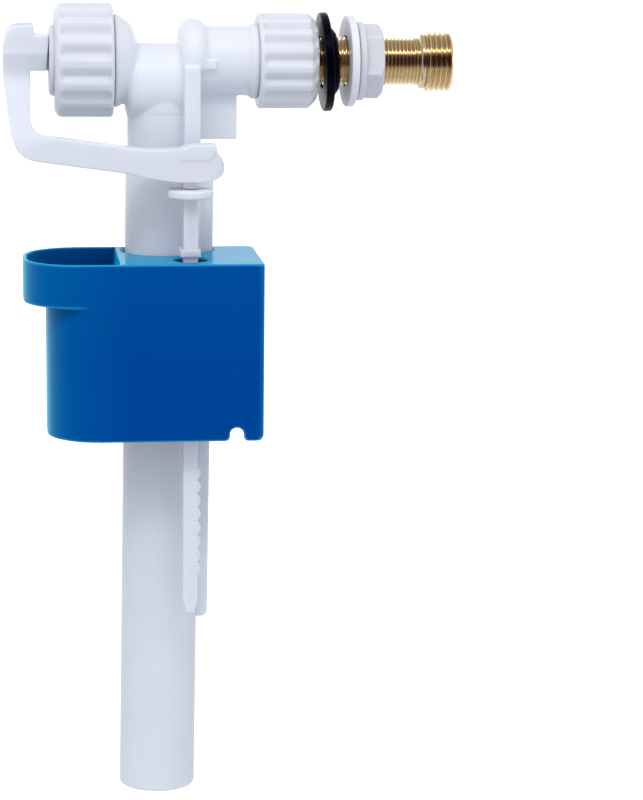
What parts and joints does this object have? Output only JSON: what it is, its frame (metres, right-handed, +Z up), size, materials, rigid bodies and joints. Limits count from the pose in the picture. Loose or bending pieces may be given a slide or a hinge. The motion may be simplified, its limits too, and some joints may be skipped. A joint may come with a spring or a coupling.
{
  "type": "toilet fill valve",
  "caption": "Side-inlet toilet fill valve: white diaphragm valve with a lever, hanging rod and blue box float on a down tube, and a brass threaded tail.",
  "frame": {"origin": "on the inlet axis, above the down tube", "axes": "+X along the inlet towards the brass tail's end, +Z up, -Y towards the float rod (the front)"},
  "size_m": [0.1552, 0.0564, 0.2798],
  "materials": {
    "white_plastic": "satin moulded polypropylene, slightly bluish white",
    "blue_plastic": "glossy moulded blue",
    "black_rubber": "smooth black rubber",
    "brass": "machined, bright",
    "grey_plastic": "matte",
    "steel": "drawn wire"
  },
  "bodies": {
    "base": {"valve_body": "white_plastic", "inlet_nozzle": "white_plastic", "diaphragm": "black_rubber", "bonnet": "white_plastic", "pilot_jet": "brass", "lever_pin": "steel", "down_tube": "white_plastic", "tube_seal": "black_rubber", "flow_silencer": "grey_plastic", "tail_gasket": "black_rubber", "brass_tail": "brass", "inlet_filter": "grey_plastic", "flow_restrictor": "grey_plastic"},
    "lever": {"lever": "white_plastic", "pilot_pad": "black_rubber"},
    "diaphragm_plate": {"diaphragm_plate": "grey_plastic"},
    "rod_head": {"rod_head": "white_plastic"},
    "thumbwheel": {"thumbwheel": "white_plastic"},
    "rod": {"float_rod": "white_plastic"},
    "float": {"float_shell": "blue_plastic", "float_latch": "white_plastic"},
    "cap_nut": {"cap_nut": "white_plastic"},
    "union_nut": {"union_nut": "white_plastic"},
    "rubber_washer": {"rubber_washer": "black_rubber"},
    "plastic_washer": {"plastic_washer": "white_plastic"},
    "backnut": {"backnut": "white_plastic"}
  },
  "joints": [
    {"name": "float_lift", "type": "slide", "parent": "base", "child": "rod_head", "axis": [0, 0, 1], "range_m": [0, 0.0036]},
    {"name": "fine_adjust", "type": "slide", "parent": "rod_head", "child": "rod", "axis": [0, 0, 1], "range_m": [-0.003, 0]},
    {"name": "thumbwheel_turn", "type": "hinge", "parent": "rod_head", "child": "thumbwheel", "pos_m": [0.007, -0.025, -0.0432], "axis": [0, 0, 1], "range_deg": [-361, 1]},
    {"name": "level_adjust", "type": "slide", "parent": "rod", "child": "float", "axis": [0, 0, 1], "range_m": [-0.045, 0]},
    {"name": "lever_pivot", "type": "hinge", "parent": "base", "child": "lever", "pos_m": [-0.0473, 0, 0.0062], "axis": [0, -1, 0], "range_deg": [0, 3.9]},
    {"name": "diaphragm_close", "type": "slide", "parent": "base", "child": "diaphragm_plate", "axis": [1, 0, 0], "range_m": [0, 0.001]},
    {"name": "cap_nut_spin", "type": "hinge", "parent": "base", "child": "cap_nut", "pos_m": [-0.028, 0, 0], "axis": [1, 0, 0], "continuous": true},
    {"name": "union_nut_spin", "type": "hinge", "parent": "base", "child": "union_nut", "pos_m": [0.042, 0, 0], "axis": [1, 0, 0], "continuous": true},
    {"name": "rubber_washer_slide", "type": "slide", "parent": "base", "child": "rubber_washer", "axis": [1, 0, 0], "range_m": [-0.001, 0.0022]},
    {"name": "plastic_washer_slide", "type": "slide", "parent": "base", "child": "plastic_washer", "axis": [1, 0, 0], "range_m": [-0.0015, 0.012]},
    {"name": "backnut_turn", "type": "hinge", "parent": "plastic_washer", "child": "backnut", "pos_m": [0.072, 0, 0], "axis": [1, 0, 0], "range_deg": [-405, 3240]}
  ],
  "couplings": [
    {"joint": "lever_pivot", "follows": "float_lift", "rad_per_m": 18.416},
    {"joint": "diaphragm_close", "follows": "float_lift", "ratio": 0.25},
    {"joint": "thumbwheel_turn", "follows": "fine_adjust", "rad_per_m": 2094.4},
    {"joint": "backnut_turn", "follows": "plastic_washer_slide", "rad_per_m": 4699.5}
  ]
}
